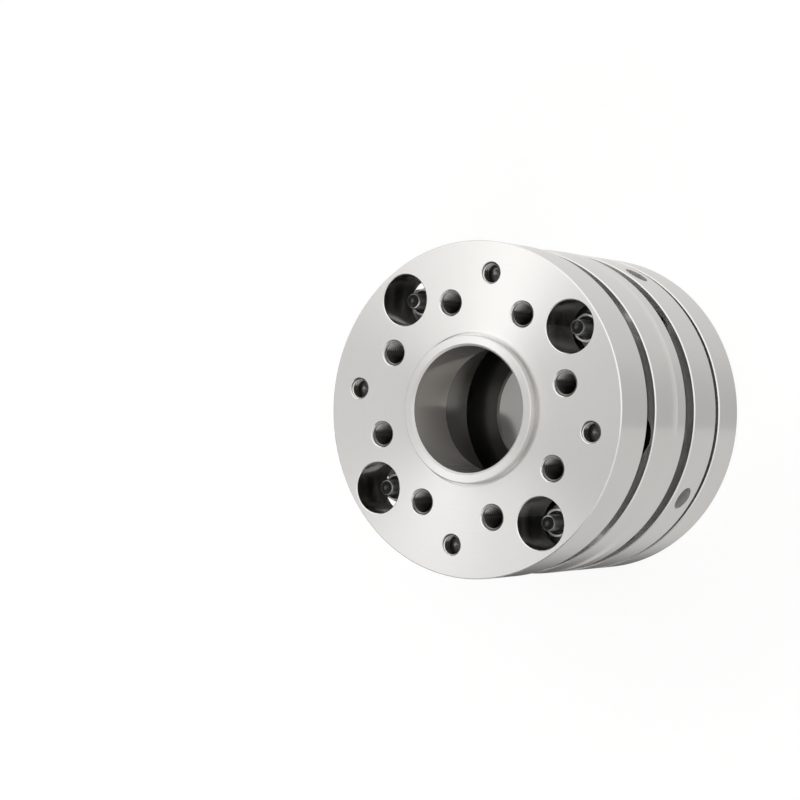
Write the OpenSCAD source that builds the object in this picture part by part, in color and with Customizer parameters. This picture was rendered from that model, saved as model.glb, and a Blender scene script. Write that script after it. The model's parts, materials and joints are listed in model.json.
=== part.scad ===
// Double disc-pack coupling, standing on its rear flange with the spigot face up.
// Z = 0 is the rear face; the coupling's axis is the Z axis.

/* [Rings] */
// Outer diameter shared by the four rings
outer_d = 160; // [158:0.5:200]
// Thickness of the front flange
front_flange_t = 25.5; // [20:0.5:40]
// Thickness of the centre ring
ring_t = 30.4; // [26:0.2:60]
// Thickness of the rear hub
hub_t = 23.5; // [20:0.5:40]
// Thickness of the rear flange's rim
rear_flange_t = 21; // [18:0.5:30]
// Gap between neighbouring rings that each disc pack fills
pack_gap = 9.5; // [7:0.5:14]
// Narrow gap left between the rear hub and the rear flange's rim
joint_gap = 3.8; // [2:0.2:6]
// Chamfer on the rings' outer edges
edge_chamfer = 0.5; // [0.2:0.1:1.5]

/* [Bore and spigot] */
// Bore through both flanges and the rear hub
bore_d = 60; // [40:1:64]
// Bore of the centre ring
ring_bore_d = 86; // [64:1:96]
// Chamfer at the mouths of the bores
bore_chamfer = 1; // [0.2:0.1:1.5]
// Chamfer inside the front flange where its bore meets the gap
inner_chamfer = 0.4; // [0.1:0.1:0.8]
// Chamfer at the mouths of the centre ring's bore
ring_bore_chamfer = 0.5; // [0.2:0.1:1]
// Outer diameter of the spigots
spigot_d = 70; // [69:0.5:84]
// Height of the spigots
spigot_h = 4; // [2:0.5:6]
// Chamfer on the spigots' outer edge
spigot_chamfer = 0.5; // [0.2:0.1:0.8]
// Width of the relief groove round a spigot
relief_w = 1.5; // [0.5:0.1:2.5]
// Depth of the relief groove round a spigot
relief_depth = 0.8; // [0.3:0.1:1.5]
// Radial clearance of the rear spigot in its recess
register_clearance = 0.05; // [0.02:0.01:0.2]
// Free depth left past the end of the rear spigot
register_depth_clearance = 0.3; // [0.1:0.1:1]
// Diameter of the raised pad that the rear hub seats on
pad_d = 130; // [126:1:140]

/* [Waist of the centre ring] */
// Depth of the shallow waist turned into the rim
waist_depth = 0.6; // [0.2:0.1:1.5]
// Distance from the ring's front face to where the waist begins to run out
waist_l = 15; // [8:0.5:17]
// Axial length over which the waist curves out to full diameter
waist_runout = 6.7; // [4:0.1:8]

/* [Large holes] */
// Distance from the rings' outer edge to the circle of the bolts and screws that hold the packs
pack_circle_inset = 15; // [14.5:0.5:17]
// Diameter of the large clearance holes
access_hole_d = 24.8; // [22:0.2:26]
// Chamfer at the large holes' mouths
access_chamfer = 0.4; // [0.1:0.1:0.8]

/* [Tapped holes] */
// Circle of the eight tapped holes in a hub face
tapped_circle_d = 104; // [100:0.5:108]
// Thread diameter of the eight tapped holes
tapped_d = 12; // [10:0.5:12]
// Diameter of the countersinks at the eight tapped holes
tapped_sink_d = 13; // [12.6:0.1:14]
// Circle of the tapped holes in the rear flange's rear face
rear_tapped_circle_d = 120; // [118:0.5:126]
// Depth of the tapped holes in the rear face
rear_tapped_depth = 16; // [10:0.5:17]
// Diameter of the radial bar holes in the rear hub
bar_hole_d = 12; // [6:0.5:14]
// Wall left between a bar hole's floor and the tapped hole behind it
bar_floor_wall = 8; // [4:0.5:14]

/* [Disc packs] */
// Thickness of one lamination
lamination_t = 0.5; // [0.3:0.05:0.7]
// Width of a lamination outside the bolt circle
lamination_outer_w = 9; // [8:0.5:11]
// Width of a lamination inside the bolt circle
lamination_inner_w = 11; // [10:0.5:16]

/* [Pack screws] */
// Thread diameter of the screws that hold a pack to its flange or hub
screw_d = 10; // [8:0.5:12]
// Countersink at the tapped holes for these screws
screw_sink_d = 10.8; // [10.6:0.1:14]
// Head diameter of these screws
screw_head_d = 16; // [15:0.5:17]
// Head height of these screws
screw_head_h = 10; // [6:0.5:11]
// Width across flats of the socket in these screws
screw_socket_af = 8; // [5:0.5:8]
// Distance from the front face down to the screws' ends
front_screw_recess = 5; // [2:0.5:10]
// Distance from the rear hub's rear face up to the screws' ends
rear_screw_recess = 3; // [1:0.5:8]
// Chamfer on the ends of all screws and bolts, and on the screws' heads
screw_chamfer = 0.6; // [0.2:0.1:1]
// Outer diameter of the thick washers round these screws
screw_washer_d = 18; // [17.5:0.5:20]

/* [Through bolts] */
// Thread diameter of the four bolts that clamp both packs to the centre ring
bolt_d = 8; // [6:0.5:9]
// Width across flats of the bolt heads and nuts
hex_af = 13; // [12:0.5:14]
// Height of a nut
nut_h = 6.8; // [5:0.1:8]
// Height of a bolt head
bolt_head_h = 5.3; // [4:0.1:6]
// Chamfer at the mouths of the through bolts' holes in the centre ring
bolt_hole_chamfer = 0.3; // [0.1:0.1:0.6]
// Width of the countersink at a nut's thread, counted across its diameter
nut_sink_w = 0.8; // [0.2:0.1:1.2]
// Length of bolt that stands out of the nut
bolt_out = 8.4; // [6:0.1:10]
// Outer diameter of the sleeves between pack and washer
sleeve_d = 13.6; // [12:0.2:16]
// Length of the sleeves under the nuts
front_sleeve_l = 4.55; // [3:0.05:6]
// Length of the sleeves under the bolt heads
rear_sleeve_l = 14.15; // [10:0.05:15]
// Outer diameter of the washers under nuts and heads
bolt_washer_d = 15; // [14.5:0.5:17]
// Thickness of these washers
bolt_washer_t = 1.6; // [1:0.1:2.5]
// Outer diameter of the spacers between pack and centre ring
spacer_d = 18; // [16:0.5:20]

/* [Joint screws] */
// Head diameter of the screws that hold the rear flange
joint_head_d = 18; // [16.5:0.5:19]
// Head height of these screws
joint_head_h = 12; // [8:0.5:12]
// Width across flats of the socket in these screws
joint_socket_af = 10; // [6:0.5:10]
// Diameter of the counterbores for these heads
counterbore_d = 20; // [19.5:0.5:21]
// Depth of the head's outer face below the rear face
joint_head_recess = 1; // [0.5:0.5:3]
// Length of thread engaged in the rear hub
joint_engagement = 18.2; // [12:0.2:19]
// Depth left free past these screws' ends in the rear hub
joint_hole_spare = 1.8; // [0.6:0.2:2.4]

/* [Fits] */
// Diametral clearance of bolts and screws in plain holes
hole_clearance = 1; // [0.4:0.1:1]
// Diametral clearance between screw and tapped hole
thread_clearance = 0.1; // [0.04:0.02:0.3]

/* [Hidden] */
$fn = 96;

laminations = 6;
cut = 0.5;

// Heights of the faces, from the rear face up
hub_z = rear_flange_t + joint_gap;
hub_top = hub_z + hub_t;
ring_z = hub_top + pack_gap;
ring_top = ring_z + ring_t;
flange_z = ring_top + pack_gap;
flange_top = flange_z + front_flange_t;

pack_t = laminations * lamination_t;
pack_side = (pack_gap - pack_t) / 2;
rear_pack_z = hub_top + pack_side;
front_pack_z = ring_top + pack_side;
pack_circle_d = outer_d - 2 * pack_circle_inset;
lamination_d = pack_circle_d + 2 * lamination_outer_w;
lamination_inner_d = pack_circle_d - 2 * lamination_inner_w;
bar_floor_r = (tapped_circle_d + tapped_d + thread_clearance) / 2 + bar_floor_wall;

nut_seat = front_pack_z + pack_t + front_sleeve_l + bolt_washer_t;
head_seat = rear_pack_z - rear_sleeve_l - bolt_washer_t;
bolt_l = nut_seat + nut_h + bolt_out - head_seat;
front_screw_l = pack_gap + front_flange_t - front_screw_recess;
rear_screw_l = pack_gap + hub_t - rear_screw_recess;
joint_seat = joint_head_recess + joint_head_h;
joint_screw_l = hub_z - joint_seat + joint_engagement;

// Directions of the holes: screws on the axes, through bolts between them
screw_angle = 0;
bolt_angle = 45;
tapped_angle = 22.5;
bar_angle = -22.5;

// Copies of the children round the axis on a circle of diameter d
module round_axis(d, n, a0) {
  for (i = [0:n - 1])
    rotate([0, 0, a0 + i * 360 / n])
      translate([d / 2, 0, 0])
        children();
}

// One copy of the children at position k of four
module one_of_four(k, a0) {
  rotate([0, 0, a0 + (k - 1) * 90])
    translate([pack_circle_d / 2, 0, 0])
      children();
}

// Plain ring with chamfers on its outer edges and on the mouths of its bore
module ring_body(d, bore, h, c, bc_low, bc_high) {
  rotate_extrude()
    polygon([
      [bore / 2 + bc_low, 0],
      [d / 2 - c, 0],
      [d / 2, c],
      [d / 2, h - c],
      [d / 2 - c, h],
      [bore / 2 + bc_high, h],
      [bore / 2, h - bc_high],
      [bore / 2, bc_low]
    ]);
}

// Through hole cut with a small chamfer at both faces
module chamfered_hole(d, h, c) {
  translate([0, 0, -cut])
    cylinder(d = d, h = h + 2 * cut);
  translate([0, 0, -cut])
    cylinder(d1 = d + 2 * c + 2 * cut, d2 = d - 2 * cut, h = c + 2 * cut);
  translate([0, 0, h - c - cut])
    cylinder(d1 = d - 2 * cut, d2 = d + 2 * c + 2 * cut, h = c + 2 * cut);
}

// Countersink whose mouth is sink wide at height z, opening upward or downward
module sink(z, d, sink, up) {
  depth = (sink - d) / 2;
  translate([0, 0, up ? z - depth - cut : z - cut])
    cylinder(
      d1 = up ? d - 2 * cut : sink + 2 * cut,
      d2 = up ? sink + 2 * cut : d - 2 * cut,
      h = depth + 2 * cut
    );
}

// Tapped hole through a plate with a countersink at both faces
module tapped_through(d, sink_d, h) {
  translate([0, 0, -cut])
    cylinder(d = d, h = h + 2 * cut);
  sink(h, d, sink_d, true);
  sink(0, d, sink_d, false);
}

// Blind tapped hole in a rear face, with a countersink at its mouth
module tapped_blind(d, sink_d, depth) {
  translate([0, 0, -cut])
    cylinder(d = d, h = depth + cut);
  sink(0, d, sink_d, false);
}

// Narrow turned groove in a face, just outside the spigot
module relief(z, up) {
  translate([0, 0, up ? z - relief_depth : z - cut])
    difference() {
      cylinder(d = spigot_d + 2 * relief_w, h = relief_depth + cut);
      translate([0, 0, -cut])
        cylinder(d = spigot_d, h = relief_depth + 3 * cut);
    }
}

// Raised ring on a hub face, with its outer edge and its bore chamfered
module spigot(h) {
  c = spigot_chamfer;
  rotate_extrude()
    polygon([
      [bore_d / 2, -relief_depth],
      [spigot_d / 2, -relief_depth],
      [spigot_d / 2, h - c],
      [spigot_d / 2 - c, h],
      [bore_d / 2 + bore_chamfer, h],
      [bore_d / 2, h - bore_chamfer]
    ]);
}

// Holes common to the front flange and the rear hub
module hub_holes(h) {
  round_axis(pack_circle_d, 4, bolt_angle)
    chamfered_hole(access_hole_d, h, access_chamfer);
  round_axis(pack_circle_d, 4, screw_angle)
    tapped_through(screw_d + thread_clearance, screw_sink_d, h);
}

module front_flange() {
  color([0.80, 0.79, 0.77])
    translate([0, 0, flange_z])
      difference() {
        union() {
          difference() {
            ring_body(outer_d, bore_d, front_flange_t, edge_chamfer, inner_chamfer, 0);
            relief(front_flange_t, true);
          }
          translate([0, 0, front_flange_t])
            spigot(spigot_h);
        }
        hub_holes(front_flange_t);
        round_axis(tapped_circle_d, 8, tapped_angle)
          tapped_through(tapped_d + thread_clearance, tapped_sink_d, front_flange_t);
      }
}

// Rim profile: full diameter at the rear, curving into the shallow waist in front
waist_r = (waist_runout * waist_runout + waist_depth * waist_depth) / (2 * waist_depth);
runout_z = ring_t - waist_l - waist_runout;
waist_z = ring_t - waist_l;
waist_steps = 8;
function waist_point(i) =
  let (z = runout_z + waist_runout * i / waist_steps, u = waist_z - z)
  [outer_d / 2 - waist_depth + waist_r - sqrt(waist_r * waist_r - u * u), z];

module centre_ring() {
  color([0.78, 0.78, 0.76])
    translate([0, 0, ring_z])
      difference() {
        rotate_extrude()
          polygon(concat(
            [
              [ring_bore_d / 2 + ring_bore_chamfer, 0],
              [outer_d / 2 - edge_chamfer, 0],
              [outer_d / 2, edge_chamfer]
            ],
            [for (i = [0:waist_steps]) waist_point(i)],
            [
              [outer_d / 2 - waist_depth, ring_t - edge_chamfer],
              [outer_d / 2 - waist_depth - edge_chamfer, ring_t],
              [ring_bore_d / 2 + ring_bore_chamfer, ring_t],
              [ring_bore_d / 2, ring_t - ring_bore_chamfer],
              [ring_bore_d / 2, ring_bore_chamfer]
            ]
          ));
        round_axis(pack_circle_d, 4, screw_angle)
          chamfered_hole(access_hole_d, ring_t, access_chamfer);
        round_axis(pack_circle_d, 4, bolt_angle)
          chamfered_hole(bolt_d + hole_clearance, ring_t, bolt_hole_chamfer);
      }
}

module rear_hub() {
  color([0.78, 0.78, 0.76])
    translate([0, 0, hub_z])
      difference() {
        union() {
          difference() {
            ring_body(outer_d, bore_d, hub_t, edge_chamfer, 0, bore_chamfer);
            relief(0, false);
          }
          mirror([0, 0, 1])
            spigot(spigot_h);
        }
        hub_holes(hub_t);
        round_axis(tapped_circle_d, 8, tapped_angle)
          tapped_blind(tapped_d + thread_clearance, tapped_sink_d, joint_engagement + joint_hole_spare);
        for (i = [0:3])
          rotate([0, 0, bar_angle + i * 90])
            translate([bar_floor_r, 0, hub_t / 2])
              rotate([0, 90, 0])
                cylinder(d = bar_hole_d, h = outer_d / 2 - bar_floor_r + cut);
      }
}

module rear_flange() {
  recess_depth = spigot_h + register_depth_clearance;
  color([0.77, 0.77, 0.76])
    difference() {
      union() {
        ring_body(outer_d, bore_d, rear_flange_t, edge_chamfer, bore_chamfer, 0);
        translate([0, 0, rear_flange_t - cut])
          difference() {
            cylinder(d = pad_d, h = joint_gap + cut);
            translate([0, 0, -cut])
              cylinder(d = bore_d, h = joint_gap + 3 * cut);
          }
      }
      translate([0, 0, hub_z - recess_depth])
        cylinder(d = spigot_d + 2 * register_clearance, h = recess_depth + cut);
      round_axis(tapped_circle_d, 8, tapped_angle) {
        translate([0, 0, -cut])
          cylinder(d = counterbore_d, h = joint_seat + cut);
        cylinder(d = tapped_d + hole_clearance, h = hub_z + cut);
      }
      round_axis(rear_tapped_circle_d, 8, 0)
        tapped_blind(tapped_d + thread_clearance, tapped_sink_d, rear_tapped_depth);
    }
}

// Thin spring-steel ring, one of six in a pack
module lamination(z) {
  color([0.70, 0.71, 0.72])
    translate([0, 0, z])
      difference() {
        cylinder(d = lamination_d, h = lamination_t);
        translate([0, 0, -cut])
          cylinder(d = lamination_inner_d, h = lamination_t + 2 * cut);
        translate([0, 0, -cut]) {
          round_axis(pack_circle_d, 4, bolt_angle)
            cylinder(d = bolt_d + hole_clearance, h = lamination_t + 2 * cut);
          round_axis(pack_circle_d, 4, screw_angle)
            cylinder(d = screw_d + hole_clearance, h = lamination_t + 2 * cut);
        }
      }
}

module front_lamination(i) {
  lamination(front_pack_z + (i - 1) * lamination_t);
}

module rear_lamination(i) {
  lamination(rear_pack_z + (i - 1) * lamination_t);
}

// Plain tube used for every washer, spacer and sleeve
module tube(d, hole, h) {
  difference() {
    cylinder(d = d, h = h);
    translate([0, 0, -cut])
      cylinder(d = hole, h = h + 2 * cut);
  }
}

module front_sleeve(k) {
  color([0.62, 0.62, 0.61])
    one_of_four(k, bolt_angle)
      translate([0, 0, front_pack_z + pack_t])
        tube(sleeve_d, bolt_d + hole_clearance, front_sleeve_l);
}

module rear_sleeve(k) {
  color([0.62, 0.62, 0.61])
    one_of_four(k, bolt_angle)
      translate([0, 0, rear_pack_z - rear_sleeve_l])
        tube(sleeve_d, bolt_d + hole_clearance, rear_sleeve_l);
}

// Hexagon with its corners turned off at 30 degrees, as on a nut or a bolt head
module hexagon(af, h, low, high) {
  corner_d = af / cos(30);
  run = corner_d - af;
  rise = run * tan(30);
  intersection() {
    rotate([0, 0, 30])
      cylinder(d = corner_d, h = h, $fn = 6);
    rotate_extrude()
      polygon(concat(
        [[0, 0]],
        low ? [[af / 2, 0], [af / 2 + run, rise]] : [[corner_d, 0]],
        high ? [[af / 2 + run, h - rise], [af / 2, h]] : [[corner_d, h]],
        [[0, h]]
      ));
  }
}

// Round shank with a chamfered end at its top
module shank(d, l) {
  c = screw_chamfer;
  rotate_extrude()
    polygon([[0, 0], [d / 2, 0], [d / 2, l - c], [d / 2 - c, l], [0, l]]);
}

// Cylinder head with a hexagon socket in its underside, standing below z = 0
module socket_head(d, h, af) {
  c = screw_chamfer;
  difference() {
    rotate_extrude()
      polygon([[0, -h], [d / 2 - c, -h], [d / 2, -h + c], [d / 2, 0], [0, 0]]);
    translate([0, 0, -h - cut])
      cylinder(d = af / cos(30), h = h / 2 + cut, $fn = 6);
  }
}

// The shank starts inside the head, so that the two are one piece
module headed_shank(d, l) {
  translate([0, 0, -cut])
    shank(d, l + cut);
}

module socket_screw(d, l, head_d, head_h, af) {
  headed_shank(d, l);
  socket_head(head_d, head_h, af);
}

module through_bolts() {
  color([0.25, 0.25, 0.25])
    round_axis(pack_circle_d, 4, bolt_angle)
      translate([0, 0, head_seat])
        union() {
          headed_shank(bolt_d, bolt_l);
          translate([0, 0, -bolt_head_h])
            hexagon(hex_af, bolt_head_h, true, false);
        }
}

module through_nuts() {
  color([0.25, 0.25, 0.25])
    round_axis(pack_circle_d, 4, bolt_angle)
      translate([0, 0, nut_seat])
        difference() {
          hexagon(hex_af, nut_h, true, true);
          translate([0, 0, -cut])
            cylinder(d = bolt_d + thread_clearance, h = nut_h + 2 * cut);
          sink(nut_h, bolt_d + thread_clearance, bolt_d + thread_clearance + nut_sink_w, true);
        }
}

module nut_washers() {
  color([0.72, 0.72, 0.71])
    round_axis(pack_circle_d, 4, bolt_angle)
      translate([0, 0, nut_seat - bolt_washer_t])
        tube(bolt_washer_d, bolt_d + hole_clearance, bolt_washer_t);
}

module head_washers() {
  color([0.72, 0.72, 0.71])
    round_axis(pack_circle_d, 4, bolt_angle)
      translate([0, 0, head_seat])
        tube(bolt_washer_d, bolt_d + hole_clearance, bolt_washer_t);
}

// Spacers that stand between the packs and the centre ring, round the through bolts
module front_spacers() {
  color([0.62, 0.62, 0.61])
    round_axis(pack_circle_d, 4, bolt_angle)
      translate([0, 0, ring_top])
        tube(spacer_d, bolt_d + hole_clearance, pack_side);
}

module rear_spacers() {
  color([0.62, 0.62, 0.61])
    round_axis(pack_circle_d, 4, bolt_angle)
      translate([0, 0, ring_z - pack_side])
        tube(spacer_d, bolt_d + hole_clearance, pack_side);
}

// Screws whose heads lie in the centre ring and whose ends are tapped into the front flange
module front_screws() {
  color([0.22, 0.22, 0.22])
    round_axis(pack_circle_d, 4, screw_angle)
      translate([0, 0, ring_top])
        union()
          socket_screw(screw_d, front_screw_l, screw_head_d, screw_head_h, screw_socket_af);
}

module rear_screws() {
  color([0.22, 0.22, 0.22])
    round_axis(pack_circle_d, 4, screw_angle)
      translate([0, 0, ring_z])
        mirror([0, 0, 1])
          union()
            socket_screw(screw_d, rear_screw_l, screw_head_d, screw_head_h, screw_socket_af);
}

// Thick washers on both sides of a pack, round the pack screws
module screw_washer_pair(low, high) {
  round_axis(pack_circle_d, 4, screw_angle) {
    translate([0, 0, low])
      tube(screw_washer_d, screw_d + hole_clearance, pack_side);
    translate([0, 0, high])
      tube(screw_washer_d, screw_d + hole_clearance, pack_side);
  }
}

module front_screw_washers() {
  color([0.62, 0.62, 0.61])
    screw_washer_pair(ring_top, front_pack_z + pack_t);
}

module rear_screw_washers() {
  color([0.62, 0.62, 0.61])
    screw_washer_pair(hub_top, rear_pack_z + pack_t);
}

// Screws that hold the rear flange to the rear hub, heads sunk in the rear face
module joint_screws() {
  color([0.22, 0.22, 0.22])
    round_axis(tapped_circle_d, 8, tapped_angle)
      translate([0, 0, joint_seat])
        union()
          socket_screw(tapped_d, joint_screw_l, joint_head_d, joint_head_h, joint_socket_af);
}

front_flange();
centre_ring();
rear_hub();
rear_flange();
front_lamination(1);  // front_lamination_1
front_lamination(2);  // front_lamination_2
front_lamination(3);  // front_lamination_3
front_lamination(4);  // front_lamination_4
front_lamination(5);  // front_lamination_5
front_lamination(6);  // front_lamination_6
rear_lamination(1);  // rear_lamination_1
rear_lamination(2);  // rear_lamination_2
rear_lamination(3);  // rear_lamination_3
rear_lamination(4);  // rear_lamination_4
rear_lamination(5);  // rear_lamination_5
rear_lamination(6);  // rear_lamination_6
front_sleeve(1);  // front_sleeve_1
front_sleeve(2);  // front_sleeve_2
front_sleeve(3);  // front_sleeve_3
front_sleeve(4);  // front_sleeve_4
rear_sleeve(1);  // rear_sleeve_1
rear_sleeve(2);  // rear_sleeve_2
rear_sleeve(3);  // rear_sleeve_3
rear_sleeve(4);  // rear_sleeve_4
through_bolts();
through_nuts();
nut_washers();
head_washers();
front_spacers();
rear_spacers();
front_screws();
rear_screws();
front_screw_washers();
rear_screw_washers();
joint_screws();
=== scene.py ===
import json
import math

import bmesh
import bpy
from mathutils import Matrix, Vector


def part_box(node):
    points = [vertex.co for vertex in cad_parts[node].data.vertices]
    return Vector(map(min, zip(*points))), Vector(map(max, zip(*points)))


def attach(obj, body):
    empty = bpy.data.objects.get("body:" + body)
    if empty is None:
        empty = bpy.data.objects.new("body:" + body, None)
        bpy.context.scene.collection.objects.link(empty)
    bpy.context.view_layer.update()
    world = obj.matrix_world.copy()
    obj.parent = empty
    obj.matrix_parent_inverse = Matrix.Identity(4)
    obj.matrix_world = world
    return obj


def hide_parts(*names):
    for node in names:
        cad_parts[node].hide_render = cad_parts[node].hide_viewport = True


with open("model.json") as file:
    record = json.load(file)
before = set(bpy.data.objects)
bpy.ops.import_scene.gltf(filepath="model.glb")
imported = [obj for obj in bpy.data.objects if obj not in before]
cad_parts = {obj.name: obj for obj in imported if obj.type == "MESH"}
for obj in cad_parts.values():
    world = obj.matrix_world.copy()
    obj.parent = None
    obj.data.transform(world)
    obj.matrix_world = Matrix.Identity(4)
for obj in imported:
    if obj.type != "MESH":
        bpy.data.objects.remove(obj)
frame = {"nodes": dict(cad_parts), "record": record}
nodes = frame["nodes"]
mounts = {m["name"]: m for m in frame["record"]["mounts"]}
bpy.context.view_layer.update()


# Rear flange.
# A thick steel ring turned on every side, with eight counterbored holes and eight tapped holes in
# its rear face. It carries the coupling and is bolted to the machine.
class Reading:
    """A value that changes over a surface, read from one socket and used in sums."""

    def __init__(self, finish, socket):
        self.finish = finish
        self.socket = socket

    def sum(self, operation, first, second=None, clamp=False):
        node = self.finish.add("ShaderNodeMath", {"operation": operation, "use_clamp": clamp},
                               {0: first} if second is None else {0: first, 1: second})
        return Reading(self.finish, node.outputs[0])

    def __add__(self, other):
        return self.sum("ADD", self, other)

    def __sub__(self, other):
        return self.sum("SUBTRACT", self, other)

    def __mul__(self, other):
        return self.sum("MULTIPLY", self, other)

    def __truediv__(self, other):
        return self.sum("DIVIDE", self, other)

    def __pow__(self, other):
        return self.sum("POWER", self, other)

    def __rsub__(self, other):
        return self.sum("SUBTRACT", other, self)

    __radd__ = __add__
    __rmul__ = __mul__

    def size(self):
        return self.sum("ABSOLUTE", self)

    def held(self):
        """The value kept between 0 and 1."""
        return self.sum("ADD", self, 0.0, clamp=True)

    def between(self, low, high):
        """0 below low, 1 above high and a smooth rise between them."""
        node = self.finish.add("ShaderNodeMapRange", {"interpolation_type": "SMOOTHSTEP"},
                               {"Value": self, "From Min": low, "From Max": high})
        return Reading(self.finish, node.outputs[0])


class Finish:
    """The node tree of one surface finish, of the floor or of the room."""

    def __init__(self, name, tree=None):
        if tree is None:
            self.material = bpy.data.materials.new(name)
            self.material.use_nodes = True
            tree = self.material.node_tree
        self.tree = tree
        self.tree.nodes.clear()

    def add(self, kind, settings=None, sockets=None):
        """Any node: its type, its settings, and a value or a link for each socket named."""
        node = self.tree.nodes.new(kind)
        for key, value in (settings or {}).items():
            setattr(node, key, value)
        for key, value in (sockets or {}).items():
            if isinstance(value, Reading):
                self.tree.links.new(value.socket, node.inputs[key])
            elif isinstance(value, bpy.types.NodeSocket):
                self.tree.links.new(value, node.inputs[key])
            else:
                node.inputs[key].default_value = value
        return node

    def place(self):
        """The surface point, in metres."""
        return self.add("ShaderNodeNewGeometry").outputs["Position"]

    def facing(self):
        """The direction that the surface faces, without bump or smoothing."""
        return self.add("ShaderNodeNewGeometry").outputs["True Normal"]

    def parts(self, vector):
        """The x, y and z of a vector."""
        split = self.add("ShaderNodeSeparateXYZ", sockets={0: vector})
        return [Reading(self, split.outputs[k]) for k in range(3)]

    def noise(self, at, scale, detail, rough):
        """Noise round 0.5 along a single value or through a vector."""
        line = isinstance(at, Reading)
        node = self.add("ShaderNodeTexNoise", {"noise_dimensions": "1D" if line else "3D"},
                        {"W" if line else "Vector": at, "Scale": scale,
                         "Detail": detail, "Roughness": rough})
        return Reading(self, node.outputs["Fac"])

    def mix(self, share, first, second):
        """A colour between two, each a triple or a socket."""
        def colour(c):
            return (*c, 1.0) if isinstance(c, tuple) else c
        node = self.add("ShaderNodeMix", {"data_type": "RGBA"},
                        {0: share, 6: colour(first), 7: colour(second)})
        return node.outputs[2]

    def bump(self, height, distance, strength):
        """Small relief, as a normal for a surface."""
        return self.add("ShaderNodeBump", sockets={"Height": height, "Distance": distance,
                                                   "Strength": strength}).outputs[0]

    def metal(self, **sockets):
        """Ends the tree with a metal surface."""
        names = {key.replace("_", " ").title(): value for key, value in sockets.items()}
        surface = self.add("ShaderNodeBsdfPrincipled", sockets=names)
        self.add("ShaderNodeOutputMaterial", sockets={0: surface.outputs[0]})


face_z = mounts["front_bolts"]["pos_m"][2]
bar_z = mounts["bar_hole_1"]["pos_m"][2]


def turned_steel(name, light, dark, bore_tone, painted_hole_shade, face_rough, rim_rough, hole_rough):
    """Bright steel with fine lathe cuts: rings on the faces, lines round the rims and bores. The
    bore round the axis is a little darker and less metallic, the drilled holes are painted darker
    as painted shade, and the faces that lie between the rings are painted darker as painted
    shade, darkest within the clamped radius."""
    bore_rough = 0.13
    gap_face_rough = 0.25
    cut_depth = 0.00001
    rim_scale = 1.3
    beyond_bore = (0.036, 0.038)
    beyond_spigot = (0.0362, 0.037)
    clamped = (0.05, 0.06)
    bar_bottom = (0.0665, 0.068)
    bar_edge = (0.0062, 0.0066)
    gap_start, gap_full = 0.0008, 0.0012
    spigot_top, spigot_below = 0.0002, 0.0006

    f = Finish(name)
    x, y, z = f.parts(f.place())
    nx, ny, nz = f.parts(f.facing())
    up = nz.size()
    radius = (x * x + y * y) ** 0.5
    outward = (x * nx + y * ny) / radius
    bored = (1.0 - outward.between(0.55, 0.75)) * (1.0 - up.between(0.25, 0.6))
    cut = radius * up + (1.0 - up) * z * rim_scale
    coarse = f.noise(cut, 900.0, 3.0, 0.6)
    fine = f.noise(cut, 5200.0, 2.0, 0.6)
    cloud = f.noise(f.place(), 22.0, 3.0, 0.55)
    grain = f.noise(f.place(), 2600.0, 2.0, 0.6)
    tone = (coarse * 0.3 + fine * 0.2 + cloud * 0.5).between(0.3, 0.7)
    drilled = radius.between(*beyond_bore)
    # Painted shade: the drilled holes' walls take a darker tone than the faces; the bore is a little darker
    # too.
    inner = f.mix(drilled, bore_tone, painted_hole_shade)
    colour = f.mix(bored, f.mix(tone, dark, light), inner)
    flat = up.between(0.9, 0.98)
    # Painted shade: flat faces between the rings are painted darker, darkest inside the clamped radius.
    painted_shade_gap_faces = flat * z.between(gap_start, gap_full)
    painted_shade_gap_faces = painted_shade_gap_faces * (1.0 - z.between(face_z - gap_full, face_z - gap_start))
    painted_gap_shade_colour = f.mix(radius.between(*clamped), (0.26, 0.255, 0.24), (0.7, 0.695, 0.68))
    colour = f.mix(painted_shade_gap_faces, colour, painted_gap_shade_colour)
    barred = radius.between(*bar_bottom) * (1.0 - outward.between(0.3, 0.6))
    barred = barred * (1.0 - (z - bar_z).size().between(*bar_edge))
    colour = f.mix(barred, colour, (0.6, 0.595, 0.58))
    spigot_wall = z.between(face_z - spigot_below, face_z - spigot_top)
    spigot_wall = spigot_wall * (1.0 - radius.between(*beyond_spigot)) * (1.0 - flat) * (1.0 - bored)
    inner_rough = drilled * (hole_rough - bore_rough) + bore_rough
    sheen = flat * (face_rough - rim_rough) + rim_rough - bored * (rim_rough - inner_rough)
    sheen = sheen + spigot_wall * 0.15
    sheen = sheen - painted_shade_gap_faces * (face_rough - gap_face_rough)
    sheen = sheen + (coarse * 0.05 + cloud * 0.05 + grain * 0.04 - 0.07)
    relief = coarse * 0.6 + fine * 0.4
    dulled = bored * (1.0 - drilled) * 0.4 + barred * 0.5 + spigot_wall * 0.6
    f.metal(base_color=colour, metallic=1.0 - dulled, roughness=sheen, anisotropic=0.8,
            anisotropic_rotation=0.25, normal=f.bump(relief, cut_depth, 0.35))
    return f.material


def dress(names, material):
    """Gives CAD nodes a finish."""
    for name in names:
        slots = nodes[name].data.materials
        slots.clear()
        slots.append(material)


ring_finish = turned_steel("turned_ring_steel", light=(0.81, 0.80, 0.78), dark=(0.77, 0.76, 0.745),
                           bore_tone=(0.57, 0.55, 0.52), painted_hole_shade=(0.22, 0.215, 0.205),
                           face_rough=0.36, rim_rough=0.22, hole_rough=0.2)
dress(["rear_flange"], ring_finish)


def on_circle(diameter, count, first):
    """Places at equal steps round the axis, as (x, y)."""
    turns = [math.radians(first) + k * math.tau / count for k in range(count)]
    return [(diameter / 2 * math.cos(t), diameter / 2 * math.sin(t)) for t in turns]


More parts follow.
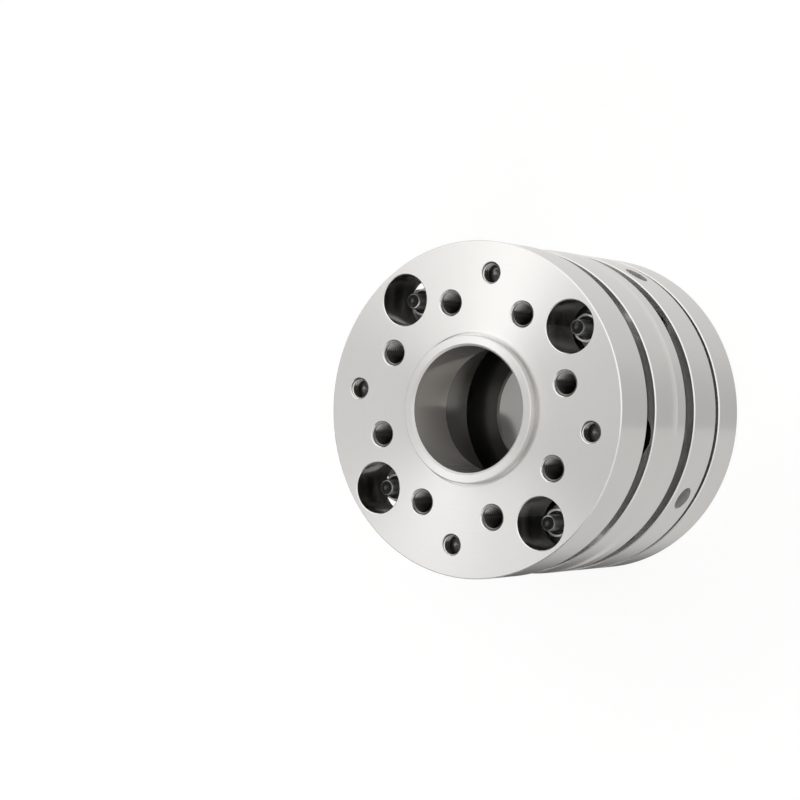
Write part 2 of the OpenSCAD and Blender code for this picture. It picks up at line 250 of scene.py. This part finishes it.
def helix_skin(bm, at, pitch, low, high, around, ridge_radius):
    """Adds one threaded wall. ridge_radius(z, share) is the wall's radius where the ridge stands
    to that share of its height. Each point keeps its share, for a finish to read."""
    ridge = [(0.0, 0.0), (0.0625, 0.0), (0.22, 0.5), (0.375, 1.0),
             (0.5, 1.0), (0.625, 1.0), (0.78, 0.5), (0.9375, 0.0)]
    first = -len(ridge)
    last = int((high - low) / pitch + 1) * len(ridge)
    stands = bm.verts.layers.float.get("ridge") or bm.verts.layers.float.new("ridge")
    rows = []
    for j in range(first, last + 1):
        turn, k = divmod(j, len(ridge))
        along, share = ridge[k]
        row = []
        for i in range(around + 1):
            z = low + (turn + along + i / around) * pitch
            z = min(max(z, low), high)
            r = ridge_radius(z, share)
            t = math.tau * i / around
            point = bm.verts.new((at[0] + r * math.cos(t), at[1] + r * math.sin(t), z))
            point[stands] = share
            row.append(point)
        rows.append(row)
    for lower, upper in zip(rows, rows[1:]):
        for i in range(around):
            bm.faces.new((lower[i], lower[i + 1], upper[i + 1], upper[i]))


def finished(bm, name, material, stands_for=(), flip=False, angle=32.0):
    """Turns a bmesh into a piece of the coupling."""
    bmesh.ops.remove_doubles(bm, verts=bm.verts, dist=2e-6)
    bmesh.ops.dissolve_degenerate(bm, edges=bm.edges, dist=1e-6)
    if flip:
        bmesh.ops.reverse_faces(bm, faces=bm.faces)
    mesh = bpy.data.meshes.new(name)
    bm.to_mesh(mesh)
    bm.free()
    mesh.materials.append(material)
    for polygon in mesh.polygons:
        polygon.use_smooth = True
    mesh.set_sharp_from_angle(angle=math.radians(angle))
    piece = bpy.data.objects.new(name, mesh)
    bpy.context.scene.collection.objects.link(piece)
    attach(piece, "root")
    if stands_for:
        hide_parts(*stands_for)


def tapped_walls(name, places, wall_r, pitch, low, high, open_low, open_high):
    """Right-hand threads in a ring of tapped holes, cut back to a cone at each open end."""
    height = 0.5413 * pitch
    sink_slope = 0.8
    around = 56
    bm = bmesh.new()

    def radius(z, share):
        r = wall_r - share * height
        if open_high:
            r = max(r, wall_r - (high - z) * sink_slope)
        if open_low:
            r = max(r, wall_r - (z - low) * sink_slope)
        return min(r, wall_r)

    for at in places:
        helix_skin(bm, at, pitch, low, high, around, radius)
    finished(bm, name, thread_finish, flip=True, angle=100.0)


def cut_thread(name):
    """Cut thread, with painted light and shade: the +y side of each hole and its mouth are painted
    bright, most of all on the crests as painted highlights, and the rest is painted near black as painted
    shade."""
    mouth_edge, mouth_end = 0.0012, 0.002
    f = Finish(name)
    wear = f.noise(f.place(), 900.0, 3.0, 0.6)
    z = f.parts(f.place())[2]
    across = f.parts(f.facing())[1]
    ridge = Reading(f, f.add("ShaderNodeAttribute", {"attribute_name": "ridge"}).outputs["Fac"])
    mouth = z.between(face_z - mouth_end, face_z - mouth_edge)
    crest = ridge.between(0.55, 0.95)
    # Painted light and shade: walls facing -y and the mouth are painted bright, with painted highlights on
    # the crests; all else is painted near black as painted shade.
    painted_lit_side = ((across * -1.0).between(0.02, 0.14) + mouth).held()
    light = f.mix(crest, (0.2, 0.195, 0.185), (0.95, 0.94, 0.92))
    colour = f.mix(painted_lit_side, (0.045, 0.043, 0.04), light)
    f.metal(base_color=colour, metallic=1.0 - painted_lit_side * crest * 0.6,
            roughness=wear * 0.1 + 0.1 + painted_lit_side * 0.15, normal=f.bump(wear, 0.00001, 0.4))
    return f.material


thread_finish = cut_thread("cut_thread_steel")

cad_slack = 0.00007
m12_pitch = 0.00175
sink_depth = 0.0005
rear_holes = mounts["rear_bolts"]["dims"]
rear_thread_depth = 0.0155
tapped_walls(
    "rear_tapped_threads",
    on_circle(rear_holes["pcd_mm"] / 1000, rear_holes["count"], 0.0),
    rear_holes["hole_r_mm"] / 1000 - cad_slack, m12_pitch,
    sink_depth, rear_thread_depth, open_low=True, open_high=False)


# Joint screws.
# Eight black M12 socket screws pull the rear flange against the rear hub. Their knurled heads lie
# sunk in the flange's counterbores.
def black_oxide(name, tone, worn, rim_at=None, rim=(), rim_z=0.0):
    """Blackened steel with a faint, oil-like sheen, rubbed brighter in places and on every chamfer. For
    four pieces set round the axis at (rim_at, rim_at), a rim above rim_z, between two distances
    from the piece's own axis, is painted near white as a painted highlight."""
    blur = 0.0001
    f = Finish(name)
    cloud = f.noise(f.place(), 260.0, 3.0, 0.6)
    speck = f.noise(f.place(), 3200.0, 2.0, 0.6)
    slope = f.parts(f.facing())[2].size()
    chamfer = slope.between(0.15, 0.4) * (1.0 - slope.between(0.93, 0.99))
    rub = ((cloud * 0.7 + speck * 0.3).between(0.55, 0.8) + chamfer * 0.7).held()
    colour = f.mix(rub, tone, worn)
    if rim_at:
        inside, outside = rim
        x, y, z = f.parts(f.place())
        from_axis = ((x.size() - rim_at) ** 2.0 + (y.size() - rim_at) ** 2.0) ** 0.5
        # Painted highlight: a near-white ring on each piece's end, between two distances from its axis.
        painted_highlight_rim = from_axis.between(inside, inside + blur)
        painted_highlight_rim = painted_highlight_rim * (1.0 - from_axis.between(outside, outside + blur))
        painted_highlight_rim = painted_highlight_rim * z.between(rim_z, rim_z + blur)
        colour = f.mix(painted_highlight_rim, colour, (0.85, 0.85, 0.84))
    f.metal(base_color=colour, metallic=0.85, roughness=0.36 - rub * 0.12 + speck * 0.06,
            normal=f.bump(speck, 0.000015, 0.5))
    return f.material


black_finish = black_oxide("black_oxide_steel", tone=(0.06, 0.06, 0.061), worn=(0.42, 0.42, 0.41))


def lathe(bm, at, outline, around, up=1.0, base=0.0, closed=True):
    """Turns an outline of (radius, z) round a vertical line. A radius may be a function of the
    angle, which is how flats and knurls are made. A closed one gets a cap at each end."""
    rows = []
    for r, z in outline:
        row = []
        for i in range(around):
            t = math.tau * i / around
            here = r(t) if callable(r) else r
            row.append(bm.verts.new((at[0] + here * math.cos(t), at[1] + here * math.sin(t),
                                     base + up * z)))
        rows.append(row)
    for lower, upper in zip(rows, rows[1:]):
        for i in range(around):
            j = (i + 1) % around
            if up > 0:
                bm.faces.new((lower[i], lower[j], upper[j], upper[i]))
            else:
                bm.faces.new((lower[i], upper[i], upper[j], lower[j]))
    if closed:
        for row, flip in ((rows[0], up > 0), (rows[-1], up < 0)):
            bm.faces.new(list(reversed(row)) if flip else row)


def hexagon(af, turn=0.0):
    """Radius of a hexagon at an angle. Its corners lie at that turn and every 60 degrees."""
    return lambda t: af / 2 / math.cos((t - turn) % (math.pi / 3) - math.pi / 6)


def limited(shape, most):
    """A shape's radius, no larger than a turned limit."""
    return lambda t: min(shape(t), most)


def knurl(radius, depth, teeth):
    """Radius of a straight knurl at an angle."""
    return lambda t: radius - depth * abs((t * teeth / math.tau) % 1.0 * 2 - 1)


depth_per_pitch = 0.6134


def socket_screw(bm, at, seat, up, length, thread_d, pitch, plain, head_d, head_h, socket_af, socket_depth):
    """A socket screw whose head's inner face is at seat and whose shank runs towards up."""
    edge = head_d / 2
    top = -head_h
    floor_of_socket = top + socket_depth
    socket = hexagon(socket_af)
    ribs = knurl(edge, depth=0.00018, teeth=36)
    lathe(bm, at, [
        (0.0004, floor_of_socket + 0.0006),
        (hexagon(socket_af * 0.96), floor_of_socket),
        (socket, floor_of_socket - 0.0003),
        (socket, top + 0.0005),
        (limited(lambda t: socket(t) + 0.0004, edge), top),
        (edge - 0.0014, top),
        (edge - 0.0008, top + 0.00025),
        (edge - 0.0003, top + 0.0008),
        (ribs, top + 0.0011),
        (ribs, -0.0016),
        (edge - 0.0002, -0.0012),
        (edge - 0.0002, -0.0002),
        (edge - 0.0004, 0.0),
        (thread_d / 2, 0.0),
        (thread_d / 2, plain),
        (thread_d / 2 - 0.5 * pitch, plain + 0.3 * pitch),
    ], 72, up, seat)
    root = depth_per_pitch * pitch
    tip = thread_d / 2 - root - 0.0001

    def radius(z, share):
        from_end = length - abs(z - seat)
        from_head = abs(z - seat) - plain
        r = thread_d / 2 - root * (1 - share)
        return min(r, tip + max(from_end, 0.0), tip + max(from_head, 0.0) * 2 + 0.0002)

    low, high = sorted((seat + up * plain, seat + up * length))
    helix_skin(bm, at, pitch, low, high, 48, radius)
    lathe(bm, at, [
        (tip, length),
        (tip * 0.42, length),
        (tip * 0.34, length - 0.0003),
        (0.00002, length - 0.0011),
    ], 48, up, seat, closed=False)


tapped_circle = mounts["front_bolts"]["dims"]["pcd_mm"] / 1000
joint_low, joint_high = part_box("joint_screws")
m12_screw = {"thread_d": 0.012, "pitch": m12_pitch, "plain": 0.008, "head_d": 0.018,
             "head_h": 0.012, "socket_af": 0.010, "socket_depth": 0.006}
joint_seat = joint_low.z + m12_screw["head_h"]
bm = bmesh.new()
for at in on_circle(tapped_circle, 8, 22.5):
    socket_screw(bm, at, joint_seat, 1.0, joint_high.z - joint_seat, **m12_screw)
finished(bm, "joint_screws_knurled", black_finish, ["joint_screws"])


# Rear hub.
# The turned steel ring that the rear flange registers on. Four blind bar holes in its rim take a
# bar for turning the coupling by hand.
hub_finish = turned_steel("turned_hub_steel", light=(0.81, 0.80, 0.78), dark=(0.77, 0.76, 0.745),
                          bore_tone=(0.66, 0.645, 0.62), painted_hole_shade=(0.75, 0.745, 0.73),
                          face_rough=0.36, rim_rough=0.22, hole_rough=0.45)
dress(["rear_hub"], hub_finish)


# Disc packs.
# Each pack is six thin rings of cold-rolled spring steel, clamped between thick turned washers.
# They flex to take up misalignment.
def rolled_steel(name):
    """Smooth grey strip steel with faint rolling lines and a slightly blue tone, darker than bare
    steel: partly its own colour, partly painted shade for the gaps between the rings.
    """
    f = Finish(name)
    x, y = f.parts(f.place())[:2]
    lines = f.noise(x * 0.15 + y, 2600.0, 3.0, 0.65)
    cloud = f.noise(f.place(), 60.0, 3.0, 0.6)
    tone = (lines * 0.4 + cloud * 0.6).between(0.35, 0.65)
    # Partly the strip's own colour, partly painted shade: darkened to the tone of the gaps it lies in.
    colour = f.mix(tone, (0.36, 0.365, 0.365), (0.46, 0.46, 0.455))
    f.metal(base_color=colour, metallic=1.0, roughness=lines * 0.08 + cloud * 0.1 + 0.22,
            normal=f.bump(lines, 0.000004, 0.4))
    return f.material


spring_finish = rolled_steel("rolled_spring_steel")
dress([n for n in nodes if "lamination" in n], spring_finish)


# Pack screws and their washers.
# Black M10 socket screws clamp one pack to the rear hub and the other to the front flange. Their
# heads lie in the centre ring's large holes, and their ends show in the front flange.
collar_finish = turned_steel("turned_collar_steel", light=(0.60, 0.595, 0.58), dark=(0.50, 0.495, 0.485),
                             bore_tone=(0.5, 0.495, 0.485), painted_hole_shade=(0.4, 0.395, 0.385),
                             face_rough=0.34, rim_rough=0.26, hole_rough=0.24)
dress(["front_screw_washers", "rear_screw_washers"], collar_finish)

m10_pitch = 0.0015
m10_screw = {"thread_d": 0.010, "pitch": m10_pitch, "plain": 0.006, "head_d": 0.016,
             "head_h": 0.010, "socket_af": 0.008, "socket_depth": 0.005}
front_low, front_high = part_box("front_screws")
rear_low, rear_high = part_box("rear_screws")
front_seat = front_low.z + m10_screw["head_h"]
rear_seat = rear_high.z - m10_screw["head_h"]
pack_circle = front_high.x * 2 - m10_screw["head_d"]


def pack_screws(name, stands_for, seat, up, length):
    """The four screws of one pack. Their heads lie on the side of the centre ring."""
    bm = bmesh.new()
    for at in on_circle(pack_circle, 4, 0.0):
        socket_screw(bm, at, seat, up, length, **m10_screw)
    finished(bm, name, black_finish, [stands_for])


pack_screws("front_pack_screws", "front_screws", front_seat, 1.0, front_high.z - front_seat)
pack_screws("rear_pack_screws", "rear_screws", rear_seat, -1.0, rear_seat - rear_low.z)


# Centre ring.
# The ring that floats between the two packs, turned all over, with a shallow waist in its rim.
dress(["centre_ring"], ring_finish)


# Through bolts, sleeves and nuts.
# Four black M8 hexagon bolts run through both packs and the centre ring. Turned sleeves and zinc
# plated washers carry their heads and nuts, which lie deep in the large holes.
def zinc_plate(name):
    """Bright zinc plating with a soft, slightly milky grain."""
    f = Finish(name)
    grain = f.noise(f.place(), 1500.0, 3.0, 0.6)
    cloud = f.noise(f.place(), 120.0, 2.0, 0.5)
    tone = (grain * 0.5 + cloud * 0.5).between(0.35, 0.65)
    colour = f.mix(tone, (0.66, 0.665, 0.66), (0.78, 0.78, 0.77))
    f.metal(base_color=colour, metallic=1.0, roughness=grain * 0.1 + cloud * 0.08 + 0.2,
            normal=f.bump(grain, 0.000008, 0.5))
    return f.material


zinc_finish = zinc_plate("zinc_plate")
dress(["nut_washers", "head_washers"], zinc_finish)
dress(["front_spacers", "rear_spacers"], collar_finish)
dress([n for n in nodes if "sleeve" in n], collar_finish)

m8_pitch = 0.00125
bolt_d = 0.008
hex_af = 0.013
bolt_head_h = 0.0053
bolt_thread = 0.022
bolt_low, bolt_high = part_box("through_bolts")
bolt_seat = bolt_low.z + bolt_head_h
thread_low = bolt_high.z - bolt_thread
bolt_root = depth_per_pitch * m8_pitch
bolt_tip = bolt_d / 2 - bolt_root - 0.0001
bolt_across = pack_circle / 2 * math.cos(math.pi / 4)


def hexagon_flats(at):
    """The flats of a bolt's head or a nut, one corner pointing away from the coupling's axis."""
    return hexagon(hex_af, math.atan2(at[1], at[0]))


def turned_corners(flats, face, inward):
    """The outline of a hexagon's corners turned off at 30 degrees. It starts at the face and goes
    into the piece, which is up for 1 and down for -1."""
    corner = hex_af / 2 / math.cos(math.pi / 6)
    rise = (corner - hex_af / 2) * math.tan(math.pi / 6)
    steps = 5
    return [(limited(flats, hex_af / 2 + (corner - hex_af / 2) * k / steps),
             face + inward * rise * k / steps) for k in range(steps + 1)]


def shank_radius(z, share):
    """Radius of a through bolt's thread, cut back to a cone at both ends."""
    r = bolt_d / 2 - bolt_root * (1 - share)
    return min(r, bolt_tip + (bolt_high.z - z), bolt_tip + (z - thread_low) + 0.0002)


bm = bmesh.new()
for at in on_circle(pack_circle, 4, 45.0):
    flats = hexagon_flats(at)
    lathe(bm, at, [(0.001, bolt_low.z), (hex_af / 2 - 0.0002, bolt_low.z),
                   *turned_corners(flats, bolt_low.z, 1),
                   (flats, bolt_seat), (0.001, bolt_seat)], 96)
    lathe(bm, at, [(bolt_d / 2, bolt_seat - 0.0001), (bolt_d / 2, thread_low),
                   (bolt_d / 2 - 0.0007, thread_low + 0.0006)], 48)
    helix_skin(bm, at, m8_pitch, thread_low, bolt_high.z, 48, shank_radius)
    lathe(bm, at, [(bolt_tip, bolt_high.z), (bolt_tip * 0.46, bolt_high.z),
                   (bolt_tip * 0.36, bolt_high.z - 0.0003),
                   (0.00002, bolt_high.z - 0.0012)], 48, closed=False)
# The bolt ends carry a painted highlight ring on their end chamfers.
bolt_finish = black_oxide("black_bolt_steel", tone=(0.012, 0.012, 0.012), worn=(0.14, 0.14, 0.135),
                          rim_at=bolt_across, rim=(0.0031, 0.0037), rim_z=bolt_high.z - 0.0007)
finished(bm, "through_bolts_threaded", bolt_finish, ["through_bolts"])

nut_low, nut_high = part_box("through_nuts")
nut_hole = bolt_d / 2 + 0.00005
nut_sink = bolt_d / 2 + 0.00045
nut_step = 0.00012
bm = bmesh.new()
for at in on_circle(pack_circle, 4, 45.0):
    flats = hexagon_flats(at)
    lathe(bm, at, [(nut_hole, nut_low.z + 0.0004), (nut_sink, nut_low.z),
                   *turned_corners(flats, nut_low.z, 1),
                   *reversed(turned_corners(flats, nut_high.z, -1)),
                   (hex_af / 2 - 0.0008, nut_high.z),
                   (hex_af / 2 - 0.0009, nut_high.z - nut_step),
                   (nut_sink + 0.0006, nut_high.z - nut_step),
                   (nut_sink, nut_high.z - 0.0001),
                   (nut_hole, nut_high.z - 0.0005)], 96)
# The nuts carry a painted highlight ring on their top edges.
nut_finish = black_oxide("black_nut_steel", tone=(0.02, 0.02, 0.021), worn=(0.4, 0.4, 0.39),
                         rim_at=bolt_across, rim=(0.0056, 0.007), rim_z=nut_high.z - 0.0002)
finished(bm, "through_nuts_turned", nut_finish, ["through_nuts"])


# Front flange.
# The turned steel ring that faces out, with a spigot round its bore, eight M12 tapped holes, four
# M10 holes that the pack screws end in, and four large holes that give room to the nuts.
dress(["front_flange"], ring_finish)

flange_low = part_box("front_flange")[0].z
front_holes = mounts["front_bolts"]["dims"]
tapped_walls(
    "front_tapped_threads",
    on_circle(front_holes["pcd_mm"] / 1000, front_holes["count"], 22.5),
    front_holes["hole_r_mm"] / 1000 - cad_slack, m12_pitch,
    flange_low + sink_depth, face_z - sink_depth, open_low=True, open_high=True)
screw_hole_r = 0.00505
tapped_walls(
    "pack_screw_hole_threads",
    on_circle(pack_circle, 4, 0.0),
    screw_hole_r - cad_slack, m10_pitch,
    front_high.z - 0.0006, face_z - 0.0004, open_low=False, open_high=True)


# Floor.
# A plain pale studio floor that runs to white in the picture and keeps the coupling's soft shadow.
# Reflections see through it to the room's lower half, but meet a glowing disc below the bore
# that holds painted light and shade.
def studio_floor():
    """The floor's finish, which differs for plain sight, for reflections and for light."""
    below_bore = (0.032, 0.036)
    f = Finish("studio_floor")

    def blend(share, first, second):
        return f.add("ShaderNodeMixShader", sockets={0: share, 1: first, 2: second}).outputs[0]

    def glow(colour, strength):
        return f.add("ShaderNodeEmission", sockets={"Color": colour, "Strength": strength}).outputs[0]

    path = f.add("ShaderNodeLightPath")
    camera = Reading(f, path.outputs["Is Camera Ray"])
    glossy = Reading(f, path.outputs["Is Glossy Ray"])
    through = Reading(f, path.outputs["Is Transmission Ray"])
    x, y = f.parts(f.place())[:2]
    radius = (x * x + y * y) ** 0.5
    within = 1.0 - radius.between(*below_bore)
    # Painted shade and light of the bore's inside, seen only in reflections: near black on the +y half,
    # brightest just below y = 0 and darker towards -y.
    painted_shading_low_y = f.mix(y.between(-0.03, 0.0), (0.3, 0.3, 0.29), (0.64, 0.635, 0.62))
    tone = f.mix(y.between(0.0006, 0.0012), painted_shading_low_y, (0.14, 0.14, 0.14))
    lit = f.add("ShaderNodeBsdfDiffuse", sockets={"Color": (0.8, 0.8, 0.8, 1.0)}).outputs[0]
    clear = f.add("ShaderNodeBsdfTransparent").outputs[0]
    picture = blend(0.6, lit, glow((1.0, 1.0, 1.0, 1.0), 1.3))
    mirrored = blend(within, clear, glow(tone, 1.0))
    direct = blend((camera + through).held(), lit, picture)
    f.add("ShaderNodeOutputMaterial", sockets={0: blend(glossy, direct, mirrored)})
    return f.material


floor_reach = 6.0
floor_drop = 0.0002
bm = bmesh.new()
bmesh.ops.create_grid(bm, x_segments=8, y_segments=8, size=floor_reach)
floor_mesh = bpy.data.meshes.new("floor")
bm.to_mesh(floor_mesh)
bm.free()
floor_mesh.materials.append(studio_floor())
floor = bpy.data.objects.new("floor", floor_mesh)
floor.location.z = -floor_drop
bpy.context.scene.collection.objects.link(floor)


# Studio light.
# A long soft box above the left side, a smaller and brighter one above the near side, and a room
# whose lower half, walls and ceiling differ in brightness, as the bright steel shows them.
def soft_box(name, place, target, width, height, radiance):
    """A rectangular lamp of a given brightness, turned to face a point."""
    lamp = bpy.data.lights.new(name, "AREA")
    lamp.shape = "RECTANGLE"
    lamp.size = width
    lamp.size_y = height
    lamp.energy = radiance * math.pi * width * height
    box = bpy.data.objects.new(name, lamp)
    box.location = place
    box.rotation_euler = (Vector(target) - Vector(place)).to_track_quat("-Z", "Y").to_euler()
    bpy.context.scene.collection.objects.link(box)


face_centre = (0.0, 0.0, face_z)
soft_box("strip_box", (-0.75, 0.2, 1.36), face_centre, width=1.5, height=0.4, radiance=1.5)
soft_box("near_box", (0.15, -1.0, 1.1), face_centre, width=0.8, height=0.5, radiance=1.8)


def studio_room():
    """White for the camera. All else sees a lower half, bands near the horizon, walls and a
    ceiling, each with its own brightness by direction."""
    brightest = 2.0
    world = bpy.data.worlds.new("studio_room")
    bpy.context.scene.world = world
    world.use_nodes = True
    f = Finish("studio_room", world.node_tree)
    camera = f.add("ShaderNodeLightPath").outputs["Is Camera Ray"]
    x, y, z = f.parts(f.add("ShaderNodeTexCoord").outputs["Generated"])

    def backdrop(colour):
        return f.add("ShaderNodeBackground", sockets={"Color": colour, "Strength": 1.0}).outputs[0]

    side = (y + x * 0.035).between(-0.01, 0.01)
    ahead = x / (x * x + y * y + 0.0001) ** 0.5
    lit_side = 0.72 - ahead * 0.12 - ahead.between(0.5, 1.0) * 0.1 + z.between(-0.86, -0.62) * 0.32
    dark_side = 0.65 - (ahead * -1.0).between(0.15, 0.75) * 0.64
    table = dark_side + side * (lit_side - dark_side)
    near_band = (x * 0.5 - y * 0.87).between(0.1, 0.9) * 0.4
    left_band = (x * -0.94 + y * 0.34).between(0.5, 0.95) * 0.35
    bands = 0.5 + near_band + left_band
    table = bands + (z * -1.0).between(0.4, 0.62) * (table - bands)
    walls = 0.25 + y.between(-1.0, -0.5) * 0.7 + y.between(-0.2, 0.3) * 0.35
    walls = walls - (x * -0.88 - y * 0.46).between(0.55, 0.85) * (walls - 0.08)
    ceiling = 0.29 + (x * 0.49 + y * 0.07 + z * 0.87).between(0.93, 0.985) * 0.75
    upper = walls + z.between(0.5, 0.8) * (ceiling - walls)
    strength = table + z.between(-0.02, 0.02) * (upper - table)
    warm_white = (brightest, brightest * 0.995, brightest * 0.985)
    room = backdrop(f.mix(strength * (1.0 / brightest), (0.0, 0.0, 0.0), warm_white))
    white = backdrop((1.0, 1.0, 1.0, 1.0))
    shown = f.add("ShaderNodeMixShader", sockets={0: camera, 1: room, 2: white}).outputs[0]
    f.add("ShaderNodeOutputWorld", sockets={0: shown})


studio_room()
bpy.context.scene.view_settings.view_transform = "Standard"


# Camera.
# It stands off to the side of the axis, rolled so that the coupling lies as it does in the picture.
camera_data = bpy.data.cameras.new("camera")
camera_data.lens = 94.0
camera_data.sensor_width = 36.0
camera = bpy.data.objects.new("camera", camera_data)
camera.location = (0.51647, 0.06931, 0.95964)
camera.rotation_euler = tuple(math.radians(a) for a in (1.402, 33.847, 9.806))
bpy.context.scene.collection.objects.link(camera)
bpy.context.scene.camera = camera
